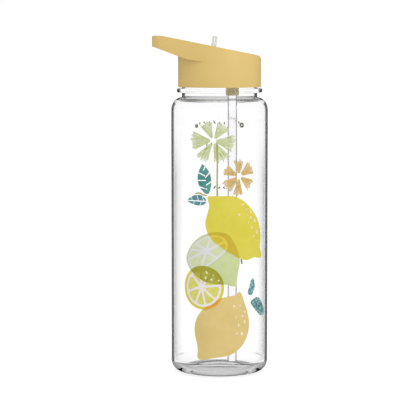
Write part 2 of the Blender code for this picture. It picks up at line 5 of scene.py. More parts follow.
import bmesh
import bpy
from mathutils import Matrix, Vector


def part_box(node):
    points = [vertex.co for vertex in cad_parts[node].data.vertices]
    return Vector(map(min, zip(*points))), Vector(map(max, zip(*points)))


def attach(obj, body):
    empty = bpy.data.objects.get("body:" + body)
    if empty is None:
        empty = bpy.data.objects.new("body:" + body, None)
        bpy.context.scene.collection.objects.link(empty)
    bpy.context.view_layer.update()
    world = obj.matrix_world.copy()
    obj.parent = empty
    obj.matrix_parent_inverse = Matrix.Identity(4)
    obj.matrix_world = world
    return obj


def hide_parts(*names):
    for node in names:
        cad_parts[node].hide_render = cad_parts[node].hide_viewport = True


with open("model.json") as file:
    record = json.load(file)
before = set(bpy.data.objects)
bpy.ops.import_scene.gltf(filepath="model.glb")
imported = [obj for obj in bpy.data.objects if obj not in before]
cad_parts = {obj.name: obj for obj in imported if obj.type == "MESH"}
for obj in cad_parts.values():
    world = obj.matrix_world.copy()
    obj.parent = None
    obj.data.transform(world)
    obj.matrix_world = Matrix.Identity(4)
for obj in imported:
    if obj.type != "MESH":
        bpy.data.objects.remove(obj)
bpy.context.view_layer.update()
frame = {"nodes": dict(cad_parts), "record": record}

# The clear bottle. One blown piece: a straight wall, a round shoulder, a neck with a bead under
# the lid, a screw thread and a pushed-up base that stands on a flat ring.

mm = 0.001
body_low, body_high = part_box("bottle_body")
axis_x = (body_low[0] + body_high[0]) / 2
body_radius = (body_high[1] - body_low[1]) / 2
mouth_height = body_high[2]
wall = 2.2 * mm
neck_radius = 28.0 * mm
neck_bore = 26.0 * mm
neck_lip = 0.6 * mm
bead_radius = 31.75 * mm
bead_low = 209.1 * mm
bead_high = 212.2 * mm
bead_round = 0.8 * mm
above_bead = 0.4 * mm
below_bead = 0.5 * mm
shoulder_low = 196.0 * mm
shoulder_high = 205.5 * mm
shoulder_crease = 0.7 * mm
thread_rise = 7.2 * mm
thread_pitch = 5.0 * mm
neck_thread_size = 1.0 * mm
neck_thread_start = 216.1 * mm
base_fillet = 8.0 * mm
base_wall = 3.0 * mm
ring_inside = 24.0 * mm
push_up = 3.0 * mm
inner_radius = body_radius - wall
inner_fillet = base_fillet - wall / 2


def select_only(*pieces):
    """Selects these pieces alone, the last of them active, as the operators need."""
    bpy.ops.object.select_all(action="DESELECT")
    for piece in pieces:
        piece.select_set(True)
    bpy.context.view_layer.objects.active = pieces[-1]


def apply_modifier(piece, kind, **settings):
    """Adds a modifier to a piece, sets it and applies it."""
    step = piece.modifiers.new(kind.lower(), kind)
    for name, value in settings.items():
        setattr(step, name, value)
    select_only(piece)
    bpy.ops.object.modifier_apply(modifier=step.name)


def arc(centre, radii, start, end, steps):
    """Points along an arc between two angles in degrees, both ends included. radii is one
    radius, or the two of an ellipse."""
    wide, high = radii if isinstance(radii, tuple) else (radii, radii)
    turns = [radians(start + (end - start) * i / steps) for i in range(steps + 1)]
    return [(centre[0] + wide * cos(a), centre[1] + high * sin(a)) for a in turns]


def leave_edit_mode():
    """Turns every face of the edited piece outward and goes back to object mode."""
    bpy.ops.mesh.select_all(action="SELECT")
    bpy.ops.mesh.normals_make_consistent(inside=False)
    bpy.ops.object.mode_set(mode="OBJECT")


def spun(name, profile, steps, x=axis_x):
    """A solid spun round the upright line at x from a closed loop of (radius, height) points."""
    bpy.ops.object.select_all(action="DESELECT")
    bpy.ops.mesh.primitive_circle_add(vertices=len(profile), radius=mm)
    piece = bpy.context.object
    piece.name = name
    for vertex, (radius, height) in zip(piece.data.vertices, profile):
        vertex.co = (x + radius, 0, height)
    bpy.ops.object.mode_set(mode="EDIT")
    bpy.ops.mesh.select_all(action="SELECT")
    bpy.ops.mesh.spin(steps=steps, angle=2 * pi, center=(x, 0, 0), axis=(0, 0, 1))
    bpy.ops.mesh.select_all(action="SELECT")
    bpy.ops.mesh.remove_doubles(threshold=0.002 * mm)
    bpy.ops.mesh.dissolve_degenerate(threshold=0.002 * mm)
    leave_edit_mode()
    return piece


def boolean(piece, operation, *others):
    """Joins, cuts or intersects a piece with others, which are used up."""
    for other in others:
        apply_modifier(piece, "BOOLEAN", operation=operation, object=other, solver="EXACT")
        bpy.data.objects.remove(other)


def smooth(piece, angle=30):
    """Shades a finished piece smooth up to this angle between faces, in degrees."""
    select_only(piece)
    bpy.ops.object.shade_smooth_by_angle(angle=radians(angle))


def helix_ridge(name, radius, size, start):
    """A screw thread's ridge: a round section turned up a helix, half sunk in its wall."""
    bpy.ops.object.select_all(action="DESELECT")
    bpy.ops.mesh.primitive_circle_add(vertices=16, radius=size, fill_type="NGON")
    piece = bpy.context.object
    piece.name = name
    for vertex in piece.data.vertices:
        vertex.co = (radius + vertex.co.x, 0, vertex.co.y)
    turns = thread_rise / thread_pitch
    steps = int(120 * turns)
    apply_modifier(
        piece, "SCREW", angle=2 * pi * turns, screw_offset=thread_rise, steps=steps,
        render_steps=steps, use_merge_vertices=False, use_normal_calculate=True,
    )
    bpy.ops.object.mode_set(mode="EDIT")
    bpy.ops.mesh.select_all(action="DESELECT")
    bpy.ops.mesh.select_mode(type="EDGE")
    bpy.ops.mesh.select_non_manifold(extend=False, use_multi_face=False, use_verts=False)
    bpy.ops.mesh.edge_face_add()
    leave_edit_mode()
    piece.location = (axis_x, 0, start)
    return piece


dome = [(ring_inside * i / 12, push_up * (1 - (i / 12) ** 2)) for i in range(13)]
bottle_outside = [
    *arc((neck_bore + neck_lip, mouth_height - neck_lip), neck_lip, 180, 90, 4),
    *arc((neck_radius - neck_lip, mouth_height - neck_lip), neck_lip, 90, 0, 4),
    *arc((neck_radius + above_bead, bead_high + above_bead), above_bead, 180, 270, 3),
    *arc((bead_radius - bead_round, bead_high - bead_round), bead_round, 90, 0, 5),
    *arc((bead_radius - bead_round, bead_low + bead_round), bead_round, 0, -90, 5),
    *arc((neck_radius + below_bead, bead_low - below_bead), below_bead, 90, 180, 3),
    *arc((neck_radius + shoulder_crease, shoulder_high + shoulder_crease), shoulder_crease,
         180, 262, 4),
    *arc((neck_radius, shoulder_low),
         (body_radius - neck_radius, shoulder_high - shoulder_low), 80, 0, 16),
    *arc((body_radius - base_fillet, base_fillet), base_fillet, 0, -90, 14),
    *reversed(dome),
]
bottle_inside = [
    *((radius, height + base_wall) for radius, height in dome),
    *arc((inner_radius - inner_fillet, base_wall + inner_fillet), inner_fillet, -90, 0, 14),
    *arc((neck_bore, shoulder_low),
         (inner_radius - neck_bore, shoulder_high - shoulder_low - wall / 2), 0, 90, 16),
]
bottle = spun("clear_bottle", bottle_outside + bottle_inside, 144)
neck_thread = helix_ridge("neck_thread", neck_radius, neck_thread_size, neck_thread_start)
boolean(bottle, "UNION", neck_thread)


def fill(node, *values, **settings):
    """Fills a node's inputs, by place or by name, and its other settings. A value that is
    another node's socket is linked to the input."""
    inputs = dict(enumerate(values))
    for key, value in settings.items():
        name = key.replace("_", " ")
        if name in node.inputs:
            inputs[name] = value
        else:
            setattr(node, key, value)
    for name, value in inputs.items():
        if isinstance(value, bpy.types.NodeSocket):
            node.id_data.links.new(value, node.inputs[name])
        else:
            node.inputs[name].default_value = value
    return node


def adder(tree):
    """A function that adds a filled node to this tree."""
    def add(kind, *values, **settings):
        return fill(tree.nodes.new("ShaderNode" + kind), *values, **settings)

    return add


def nodes_for(name):
    """A new material, its Principled shader, and a function that adds filled nodes to it."""
    material = bpy.data.materials.new(name)
    material.use_nodes = True
    tree = material.node_tree
    return material, tree.nodes["Principled BSDF"], adder(tree)


def ramp(add, source, *stops):
    """A colour ramp fed by a socket. A stop is a place and a grey value or a colour."""
    node = add("ValToRGB", Fac=source)
    elements = node.color_ramp.elements
    while len(elements) < len(stops):
        elements.new(1.0)
    for element, (place, value) in zip(elements, stops):
        element.position = place
        element.color = (*value, 1) if isinstance(value, tuple) else (value, value, value, 1)
    return node.outputs["Color"]


def clear_with_painted_shade(name, painted_edge_shades, ior, smudge_scale, smudge=0.02, level_painted_shade=0.35, fade=None):
    """Clear glass or plastic with painted shade. Its colour runs through painted_edge_shades from
    a face seen head on to one seen edge on, darkening towards the edges in place of shade and dark
    reflections. A level face takes level_painted_shade of it, and the painted shade fades out
    between two heights where fade is given."""
    material, shader, add = nodes_for(name)
    place = add("TexCoord").outputs["Object"]
    slope = add("SeparateXYZ", Vector=add("NewGeometry").outputs["Normal"])
    level = add("Math", slope.outputs["Z"], operation="ABSOLUTE")
    upright = add(
        "MapRange", Value=level.outputs["Value"], From_Min=0.45, From_Max=0.95, To_Min=1.0,
        To_Max=level_painted_shade)
    # Painted shade: the colour darkens as a face turns edge on, and less on level faces.
    facing = add("LayerWeight", Blend=0.5).outputs["Facing"]
    edge_on = add("Math", facing, upright.outputs["Result"], operation="MULTIPLY")
    tint = ramp(add, edge_on.outputs["Value"], *painted_edge_shades)
    # Where fade is given, the painted shade gives way to near-white above its heights.
    if fade:
        height = add("SeparateXYZ", Vector=place).outputs["Z"]
        upper = add("MapRange", Value=height, From_Min=fade[0], From_Max=fade[1])
        faded_shade = add(
            "MixRGB", Fac=upper.outputs["Result"], Color1=tint, Color2=(0.99, 0.99, 0.99, 1))
        tint = faded_shade.outputs["Color"]
    smears = add("TexNoise", Vector=place, Scale=smudge_scale, Detail=4.0, Roughness=0.6)
    rough = add(
        "MapRange", Value=smears.outputs["Fac"], From_Min=0.45, From_Max=0.8, To_Min=0.0,
        To_Max=smudge)
    waves = add("TexNoise", Vector=place, Scale=smudge_scale / 2, Detail=1.0)
    bump = add("Bump", Strength=0.01, Distance=0.0005, Height=waves.outputs["Fac"])
    fill(
        shader, Transmission_Weight=1.0, IOR=ior, Base_Color=tint,
        Roughness=rough.outputs["Result"], Normal=bump.outputs["Normal"])
    return material


# Eight copies of the same clear glass, one for each part of the bottle, differ in painted shade:
# each darkens edge on by its own amount, and the inner face is painted darker low down, fading out
# between 145 and 180 mm.
outer_face, inner_face, base_face, foot_face = range(4)
neck_face, shoulder_face, well_face, bore_face = range(4, 8)
for finish in (
    clear_with_painted_shade(
        "clear_outer_face_painted_shade", ((0.0, 0.99), (0.65, 0.97), (0.70, 0.04), (0.85, 0.01), (1.0, 0.03)),
        1.35, 60.0),
    clear_with_painted_shade(
        "clear_inner_face_painted_shade",
        ((0.0, 0.995), (0.38, 0.98), (0.47, 0.90), (0.55, 0.80), (0.62, 0.68), (0.70, 0.50),
         (0.80, 0.24), (1.0, 0.06)), 1.35, 45.0, fade=(0.145, 0.180)),
    clear_with_painted_shade(
        "clear_base_painted_shade", ((0.0, 0.80), (0.56, 0.54), (0.74, 0.42), (0.84, 0.16), (1.0, 0.06)),
        1.02, 45.0, level_painted_shade=1.0),
    clear_with_painted_shade(
        "clear_foot_painted_shade", ((0.0, 0.97), (0.36, 0.92), (0.50, 0.52), (0.66, 0.34), (1.0, 0.22)),
        1.04, 45.0, level_painted_shade=1.0),
    clear_with_painted_shade(
        "clear_neck_painted_shade", ((0.0, 0.99), (0.56, 0.97), (0.62, 0.05), (1.0, 0.02)), 1.04, 45.0),
    clear_with_painted_shade(
        "clear_shoulder_painted_shade", ((0.0, 0.98), (0.34, 0.95), (0.42, 0.62), (0.60, 0.48), (1.0, 0.16)),
        1.02, 45.0, level_painted_shade=1.0),
    clear_with_painted_shade(
        "clear_well_painted_shade", ((0.0, 0.97), (0.68, 0.88), (0.79, 0.50), (0.88, 0.22), (1.0, 0.12)),
        1.02, 45.0, level_painted_shade=1.0),
    clear_with_painted_shade("clear_bore_painted_shade", ((0.0, 0.99), (0.80, 0.96), (1.0, 0.80)), 1.04, 45.0),
):
    bottle.data.materials.append(finish)
neck_starts = shoulder_high + 0.6 * mm
shade_inside = shoulder_high - 2.4 * mm
shade_outside = shoulder_high - 1.6 * mm
dome_top = base_wall + push_up + 0.5 * mm
# Each face gets the copy whose painted shade is set for its place on the bottle.
for face in bottle.data.polygons:
    height = face.center.z
    middle = Vector((axis_x, 0, min(max(height, 30 * mm), 180 * mm)))
    beside = hypot(face.center.x - axis_x, face.center.y)
    looks_in = (middle - face.center).dot(face.normal) > 0
    face.material_index = inner_face if looks_in else outer_face
    if height > neck_starts:
        face.material_index = bore_face if beside < neck_bore + 0.2 * mm else neck_face
    elif height > (shade_inside if looks_in else shade_outside):
        face.material_index = shoulder_face
    elif height < dome_top and beside < inner_radius - inner_fillet:
        face.material_index = well_face if looks_in else base_face
    elif height < base_wall + inner_fillet and looks_in:
        face.material_index = bore_face
    elif height < base_fillet and not looks_in:
        face.material_index = foot_face
smooth(bottle)
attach(bottle, "bottle")
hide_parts("bottle_body")

# The print. Opaque inks laid one over another round the outside of the bottle: two brushed
# flowers on a stem, four leaves, a lemon, a cut lime, a round slice and a tan lemon. Where two
# inks cross, the upper one shows darker. Places are millimetres round and up the bottle.

film = 0.025 * mm
film_lift = 0.02 * mm
film_step = 0.03 * mm
strip = body_radius * radians(3)
brush_length = 18
draw = random.Random(11)


def slab(name, outline, low, high, upright=True):
    """A flat outline raised to a solid between two heights, or between two places along Y."""
    bpy.ops.object.select_all(action="DESELECT")
    bpy.ops.mesh.primitive_circle_add(vertices=len(outline), radius=mm, fill_type="NGON")
    piece = bpy.context.object
    piece.name = name
    for vertex, (x, other) in zip(piece.data.vertices, outline):
        vertex.co = (axis_x + x, other, low) if upright else (axis_x + x, low, other)
    bpy.ops.object.mode_set(mode="EDIT")
    bpy.ops.mesh.select_all(action="SELECT")
    rise = (0, 0, high - low) if upright else (0, high - low, 0)
    bpy.ops.mesh.extrude_region_move(TRANSFORM_OT_translate={"value": rise})
    leave_edit_mode()
    return piece


def rounded(points, steps=5):
    """A smooth closed outline through a few points."""
    outline = []
    for i in range(len(points)):
        a, b, c, d = (Vector(points[(i + j) % len(points)]) for j in (-1, 0, 1, 2))
        for k in range(steps):
            t = k / steps
            place = 0.5 * (
                2 * b + (c - a) * t + (2 * a - 5 * b + 4 * c - d) * t * t
                + (3 * b - a - 3 * c + d) * t ** 3
            )
            outline.append((place.x, place.y))
    return outline


def joined(pieces):
    """One piece made of several."""
    select_only(*pieces)
    if len(pieces) > 1:
        bpy.ops.object.join()
    return bpy.context.object


def films(name, *outlines, low=0, high=film):
    """One flat mesh of ink films, one for each outline."""
    return joined([
        slab(name, [(u * mm, z * mm) for u, z in line], low, high, upright=False)
        for line in outlines
    ])


def stencil(outline):
    """A thick flat shape that cuts or keeps what lies inside it."""
    return films("stencil", outline, low=-4 * film, high=5 * film)


def wrap(piece, layer, finish, centre=None):
    """Cuts a flat film into strips, bends it round the bottle and gives it its ink. With a
    centre, a map of turn and distance from that centre is kept for the brush strokes."""
    reach = [vertex.co.x - axis_x for vertex in piece.data.vertices]
    select_only(piece)
    bpy.ops.object.mode_set(mode="EDIT")
    for i in range(int(min(reach) // strip) + 1, int(max(reach) // strip) + 1):
        bpy.ops.mesh.select_all(action="SELECT")
        bpy.ops.mesh.bisect(plane_co=(axis_x + i * strip, 0, 0), plane_no=(1, 0, 0))
    bpy.ops.object.mode_set(mode="OBJECT")
    if centre:
        strokes = piece.data.uv_layers.new(name="strokes")
        for loop in piece.data.loops:
            place = piece.data.vertices[loop.vertex_index].co
            beside = (place.x - axis_x) / mm - centre[0]
            up = place.z / mm - centre[1]
            turn = atan2(up, beside) % (2 * pi)
            strokes.data[loop.index].uv = (turn, hypot(beside, up) / brush_length)
    for vertex in piece.data.vertices:
        turn = (vertex.co.x - axis_x) / body_radius
        radius = body_radius + film_lift + layer * film_step + vertex.co.y
        vertex.co = (axis_x + radius * sin(turn), -radius * cos(turn), vertex.co.z)
    bpy.ops.object.mode_set(mode="EDIT")
    leave_edit_mode()
    piece.data.materials.append(finish)
    return piece


def motif(name, *pieces):
    """Joins the films of one motif and fixes it to the bottle."""
    whole = joined(pieces)
    whole.name = name
    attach(whole, "bottle")


def paint(red, green, blue):
    """A colour given as it looks, from 0 to 255, as the light it sends back."""
    return tuple(((value / 255 + 0.055) / 1.055) ** 2.4 for value in (red, green, blue))


def flat_ink(name, colour, shade, spot=None):
    """Screen ink: even colour with soft clouds in it, and a fine toothy surface. With a spot
    colour it also has pale worn spots."""
    material, shader, add = nodes_for(name)
    place = add("TexCoord").outputs["Object"]
    clouds = add("TexNoise", Vector=place, Scale=70.0, Detail=5.0, Roughness=0.65).outputs["Fac"]
    tone = ramp(add, clouds, (0.35, paint(*shade)), (0.6, paint(*colour)))
    if spot:
        cells = add("TexVoronoi", Vector=place, Scale=620.0).outputs["Distance"]
        dots = ramp(add, cells, (0.30, 0.9), (0.52, 0.0))
        tone = add("MixRGB", Fac=dots, Color1=tone, Color2=(*paint(*spot), 1)).outputs["Color"]
    gloss = add("MapRange", Value=clouds, To_Min=0.38, To_Max=0.55)
    tooth = add("TexNoise", Vector=place, Scale=900.0, Detail=2.0)
    bump = add("Bump", Strength=0.2, Distance=0.00005, Height=tooth.outputs["Fac"])
    fill(
        shader, Base_Color=tone, Roughness=gloss.outputs["Result"], Specular_IOR_Level=0.25,
        Normal=bump.outputs["Normal"])
    return material


def brushed_ink(name, dark, middle, pale):
    """Ink put on with a dry brush: thin streaks that run out from a flower's or fruit's middle."""
    material, shader, add = nodes_for(name)
    strokes = add("UVMap", uv_map="strokes").outputs["UV"]
    along = add("Mapping", Vector=strokes, Scale=(15.0, 0.9, 1.0)).outputs["Vector"]
    hairs = add("TexNoise", Vector=along, Scale=4.0, Detail=3.0, Roughness=0.6).outputs["Fac"]
    tone = ramp(
        add, hairs, (0.40, paint(*dark)), (0.48, paint(*middle)), (0.54, paint(*middle)),
        (0.62, paint(*pale)))
    gloss = add("MapRange", Value=hairs, To_Min=0.6, To_Max=0.4)
    bump = add("Bump", Strength=0.3, Distance=0.00005, Height=hairs)
    fill(
        shader, Base_Color=tone, Roughness=gloss.outputs["Result"], Specular_IOR_Level=0.25,
        Normal=bump.outputs["Normal"])
    return material


def fan(centre, low, high, reach, teeth):
    """One petal: a wedge of brush strokes with a frayed outer end."""
    def at(turn, radius):
        return (centre[0] + radius * cos(radians(turn)), centre[1] + radius * sin(radians(turn)))

    inner = draw.uniform(2.2, 3.0)
    step = (high - low) / teeth
    outline = [at(high, inner), at((low + high) / 2, inner * 0.8), at(low, inner)]
    for i in range(teeth):
        first, last = low + i * step, low + (i + 1) * step
        tip = reach * draw.uniform(0.88, 1.0)
        outline.append(at(first + 0.12 * step, tip * draw.uniform(0.94, 1.0)))
        outline.append(at(last - 0.18 * step, tip))
        if i < teeth - 1:
            outline.append(at(last, reach * draw.uniform(0.38, 0.86)))
    return outline


def bar(start, end, width):
    """A straight stroke between two places."""
    along = (Vector(end) - Vector(start)).normalized()
    side = Vector((-along.y, along.x)) * width / 2
    return [tuple(Vector(start) + side), tuple(Vector(start) - side),
            tuple(Vector(end) - side), tuple(Vector(end) + side)]


def ring(radii, steps):
    """A whole circle, or ellipse, round (0, 0)."""
    return arc((0, 0), radii, 0, 360 - 360 / steps, steps - 1)


def oval(centre, width, height, lean=0, steps=24):
    """An oval, turned by lean degrees."""
    outline = []
    for x, y in ring((width / 2, height / 2), steps):
        a = radians(lean)
        outline.append((centre[0] + x * cos(a) - y * sin(a), centre[1] + x * sin(a) + y * cos(a)))
    return outline


# The two flowers and the long stem.
green_centre = (-4.8, 175.0)
green_ink = brushed_ink("green_brushed_ink", (142, 150, 92), (203, 211, 156), (232, 236, 208))
green_petals = [(95, 134, 14.8), (33, 77, 15.0), (-33, 16, 16.8), (-88, -41, 17.4),
                (-141, -105, 17.6), (156, 206, 18.2)]
petals = films("green_petals", *(fan(green_centre, *petal, 14) for petal in green_petals))
stalk = films("stalk", rounded([
    (-2.5, 172.0), (-1.4, 172.0), (-1.2, 158.0), (-1.35, 146.0), (-1.2, 134.0), (-2.4, 134.0),
    (-2.5, 146.0), (-2.35, 158.0)]))
olive_ink = flat_ink("olive_ink", (176, 170, 108), (158, 150, 88))
motif("green_flower_print", wrap(petals, 0, green_ink, green_centre), wrap(stalk, 1, olive_ink))

tan_centre = (14.4, 149.0)
tan_ink = brushed_ink("tan_brushed_ink", (148, 112, 64), (214, 181, 106), (236, 208, 162))
tan_petals = [(71, 111, 12.8), (6, 56, 13.2), (-57, -13, 13.4), (-110, -77, 14.9),
              (195, 242, 13.8), (134, 176, 12.9)]
petals = films("tan_petals", *(fan(tan_centre, *petal, 9) for petal in tan_petals))
motif("tan_flower_print", wrap(petals, 2, tan_ink, tan_centre))

# The leaves. The upper two have veins left bare, the lower two are worn and spotted.
tall_leaf = films("tall_leaf", rounded([
    (-13.0, 157.8), (-10.5, 155.7), (-8.3, 153.1), (-6.8, 149.7), (-6.2, 145.3), (-6.5, 141.5),
    (-7.2, 138.5), (-8.4, 136.2), (-10.9, 136.5), (-13.0, 138.4), (-15.0, 141.0),
    (-16.4, 144.3), (-16.8, 148.4), (-15.9, 152.5), (-14.4, 155.5)]))
for start, end in (
    ((-17.6, 152.3), (-10.9, 149.2)), ((-18.0, 145.8), (-10.2, 146.0)),
    ((-16.8, 141.5), (-9.3, 139.6)), ((-10.4, 157.3), (-12.2, 153.2)),
    ((-6.6, 152.8), (-10.9, 147.8)), ((-5.0, 146.0), (-10.1, 142.5)),
):
    boolean(tall_leaf, "DIFFERENCE", stencil(bar(start, end, 0.8)))
wide_leaf = films("wide_leaf", rounded([
    (-26.0, 130.7), (-22.9, 133.1), (-18.8, 135.1), (-14.2, 135.1), (-11.5, 133.4),
    (-9.8, 130.9), (-11.2, 128.6), (-14.5, 127.5), (-18.5, 127.7), (-22.6, 128.9)]))
for stroke in (
    ((-27.0, 130.9), (-9.0, 130.7), 0.75), ((-22.7, 134.4), (-21.2, 131.0), 0.4),
    ((-17.8, 136.4), (-16.0, 131.0), 0.4), ((-13.4, 136.0), (-12.0, 131.0), 0.4),
    ((-20.8, 127.4), (-19.4, 130.8), 0.4), ((-15.4, 126.4), (-13.6, 130.8), 0.4),
):
    boolean(wide_leaf, "DIFFERENCE", stencil(bar(*stroke)))
teal_ink = flat_ink("teal_ink", (96, 166, 152), (70, 134, 130))
blue_teal_ink = flat_ink("blue_teal_ink", (102, 158, 164), (80, 132, 140))
worn_teal_ink = flat_ink("worn_teal_ink", (88, 142, 140), (62, 112, 116), (170, 205, 205))
twig_ink = flat_ink("twig_ink", (205, 172, 96), (168, 138, 74))
small_leaf = films("small_leaf", rounded([
    (26.3, 72.9), (27.6, 72.8), (28.2, 71.3), (28.6, 69.0), (28.9, 66.6), (28.1, 64.4),
    (26.9, 62.1), (25.4, 60.8), (23.4, 60.8), (22.2, 62.2), (22.2, 64.2), (23.2, 66.2),
    (24.0, 69.0), (24.9, 71.3)]))
low_leaf = films("low_leaf", rounded([
    (24.6, 55.2), (27.2, 57.4), (30.8, 58.6), (34.2, 57.5), (37.0, 54.8), (39.5, 51.2),
    (41.8, 48.4), (41.6, 45.6), (39.4, 44.1), (36.2, 44.4), (32.8, 46.4), (29.4, 49.4),
    (26.6, 52.2)]))
twig = films("twig", rounded([
    (-19.4, 135.9), (-17.4, 137.0), (-14.4, 137.0), (-12.4, 135.9), (-9.6, 135.4),
    (-9.8, 134.5), (-12.6, 134.9), (-15.0, 136.0), (-17.4, 135.9)]))
motif(
    "leaf_print", wrap(tall_leaf, 0, teal_ink), wrap(wide_leaf, 0, blue_teal_ink),
    wrap(small_leaf, 0, worn_teal_ink), wrap(low_leaf, 0, worn_teal_ink), wrap(twig, 1, twig_ink))

# The outlines of the lemon and of the cut lime, then the lime: skin, pith and seven segments.
lemon_line = rounded([
    (-8.6, 134.2), (-3.0, 134.7), (1.6, 134.6), (7.4, 134.6), (12.5, 133.7), (20.3, 129.1),
    (27.9, 121.6), (33.0, 114.2), (35.6, 106.0), (35.3, 99.0), (34.7, 95.6), (36.2, 92.0),
    (37.2, 89.4), (36.3, 87.6), (33.4, 87.6), (28.0, 88.4), (20.8, 87.0), (15.0, 88.6),
    (9.4, 91.6), (3.8, 94.9), (-4.2, 101.3), (-8.4, 106.4), (-10.4, 111.6), (-10.4, 116.6),
    (-8.9, 122.4), (-7.8, 127.4), (-8.7, 131.8)])
lime_line = rounded([
    (-8.4, 107.3), (-13.7, 105.1), (-18.1, 102.1), (-22.8, 97.1), (-25.9, 91.7), (-26.9, 87.3),
    (-25.3, 83.0), (-22.8, 79.6), (-19.9, 77.1), (-15.9, 74.2), (-11.7, 71.8), (-7.2, 70.4),
    (-1.7, 69.9), (3.5, 69.6), (8.0, 68.4), (12.2, 68.2), (12.8, 71.5), (13.6, 77.4),
    (14.9, 83.3), (15.1, 88.0), (13.1, 95.3), (10.6, 100.1), (7.4, 105.1), (3.4, 107.5),
    (-2.4, 108.3)])
lime_pith = rounded([
    (-25.2, 87.2), (-24.4, 91.4), (-21.8, 96.4), (-17.4, 100.9), (-12.9, 103.6), (-8.8, 105.2),
    (-3.6, 105.9), (1.4, 105.0), (4.8, 102.0), (5.8, 98.4), (4.4, 94.4), (0.5, 90.6),
    (-4.1, 86.6), (-9.2, 83.2), (-14.4, 80.4), (-19.4, 80.0), (-23.4, 82.6)])
lime_middle = (-9.9, 94.2)
lime_spokes = (27, 75, 146, 178, 205, 252, 326, 387)


def segments(line, middle, spokes, inset, gap):
    """The flesh between the spokes of a cut fruit, inside its pith's outline."""
    shapes = []
    polar = []
    for u, z in line:
        turn = degrees(atan2(z - middle[1], u - middle[0]))
        polar.append((turn, hypot(u - middle[0], z - middle[1])))
    for first, last in zip(spokes, spokes[1:]):
        rim = []
        for i in range(9):
            turn = first + (last - first) * i / 8
            nearest = min(polar, key=lambda p: abs((p[0] - turn + 180) % 360 - 180))
            rim.append((turn, nearest[1] - inset - (0.9 if i in (0, 8) else 0)))
        half = radians((last - first) / 2)
        mid = radians((first + last) / 2)
        root = Vector(middle) + Vector((cos(mid), sin(mid))) * (gap / sin(half) + 0.8)
        shape = [tuple(root)]
        for turn, radius in rim:
            side = gap / max(radius, 1.0)
            pull = -side if turn > degrees(mid) else side
            a = radians(turn) + pull * abs(turn - degrees(mid)) / max(degrees(half), 1)
            shape.append((middle[0] + radius * cos(a), middle[1] + radius * sin(a)))
        shapes.append(shape)
    return shapes


lime_flesh = segments(lime_pith, lime_middle, lime_spokes, 1.5, 0.75)
lime_skin_ink = flat_ink("lime_skin_ink", (202, 213, 158), (196, 207, 150))
lime_pith_ink = flat_ink("lime_pith_ink", (224, 221, 226), (218, 218, 216))
lime_flesh_ink = brushed_ink("lime_flesh_ink", (200, 211, 158), (208, 216, 172), (224, 225, 212))
motif(
    "lime_print", wrap(films("lime_skin", lime_line), 0, lime_skin_ink),
    wrap(films("lime_pith", lime_pith), 1, lime_pith_ink),
    wrap(films("lime_flesh", *lime_flesh), 2, lime_flesh_ink, lime_middle))

# The lemon, over the lime's top. The lime shows through it in darker yellows.
lemon_ink = flat_ink("lemon_ink", (220, 207, 80), (214, 203, 72))
crossed_skin_ink = flat_ink("crossed_skin_ink", (202, 180, 54), (196, 172, 48))
crossed_pith_ink = flat_ink("crossed_pith_ink", (224, 204, 76), (218, 196, 68))
crossed_flesh_ink = flat_ink("crossed_flesh_ink", (208, 184, 46), (216, 194, 60))
lemon_spot_ink = flat_ink("lemon_spot_ink", (236, 224, 196), (228, 210, 160))
crossed = []
for name, outlines, ink, layer in (
    ("crossed_skin", [lime_line], crossed_skin_ink, 4),
    ("crossed_pith", [lime_pith], crossed_pith_ink, 5),
    ("crossed_flesh", lime_flesh, crossed_flesh_ink, 6),
):
    shape = films(name, *outlines)
    boolean(shape, "INTERSECT", stencil(lemon_line))
    crossed.append(wrap(shape, layer, ink))
lemon_spots = films("lemon_spots", *(
    oval(*spot) for spot in (
        ((17.6, 128.2), 2.0, 1.4, 30), ((20.6, 124.4), 1.2, 0.9, 0), ((24.6, 122.4), 1.4, 2.4, 20),
        ((24.6, 118.2), 1.3, 1.9, 0), ((28.6, 115.8), 1.6, 3.1, 15), ((22.4, 114.6), 0.9, 1.3, 0),
        ((25.6, 110.8), 1.5, 2.4, 10), ((30.8, 107.2), 1.7, 2.7, -5), ((14.6, 120.6), 1.7, 1.2, 0),
        ((27.2, 104.2), 1.1, 1.7, 0), ((30.0, 101.2), 0.9, 1.3, 0))))
motif("lemon_print", wrap(films("lemon", lemon_line), 3, lemon_ink), *crossed,
      wrap(lemon_spots, 4, lemon_spot_ink))

# The tan lemon at the foot, and the short stalk between the fruit.
tan_lemon_line = rounded([
    (14.9, 63.9), (17.2, 61.2), (19.2, 55.4), (21.8, 48.4), (23.3, 40.1), (22.0, 31.9),
    (18.2, 24.8), (12.6, 19.8), (6.4, 16.8), (-3.2, 15.2), (-11.0, 13.6), (-15.0, 13.2),
    (-17.0, 15.4), (-16.8, 20.4), (-17.4, 25.4), (-18.8, 30.4), (-19.4, 36.4), (-17.8, 43.8),
    (-13.4, 50.2), (-6.4, 55.6), (1.0, 59.4), (6.4, 60.6), (12.0, 61.8)])
tan_lemon_ink = flat_ink("tan_lemon_ink", (222, 198, 130), (216, 192, 122))
tan_spots = films("tan_spots", *(
    oval(*spot) for spot in (
        ((19.3, 48.9), 1.5, 2.2, 20), ((17.3, 45.6), 1.6, 1.8, 0), ((19.3, 41.2), 1.5, 3.0, 5),
        ((14.3, 39.0), 1.3, 2.8, 10), ((17.0, 32.6), 2.2, 2.6, 0), ((10.8, 53.4), 1.4, 1.4, 0),
        ((12.4, 45.0), 1.2, 1.2, 0), ((15.4, 53.6), 1.2, 1.4, 0), ((12.8, 33.0), 1.1, 1.3, 0))))
tan_spot_ink = flat_ink("tan_spot_ink", (240, 226, 204), (236, 214, 178))
fruit_stalk = films("fruit_stalk", bar((16.3, 88.0), (16.9, 84.4), 1.3))
stalk_ink = flat_ink("stalk_ink", (128, 138, 82), (108, 120, 66))
motif("tan_lemon_print", wrap(films("tan_lemon", tan_lemon_line), 0, tan_lemon_ink),
      wrap(tan_spots, 1, tan_spot_ink), wrap(fruit_stalk, 1, stalk_ink))

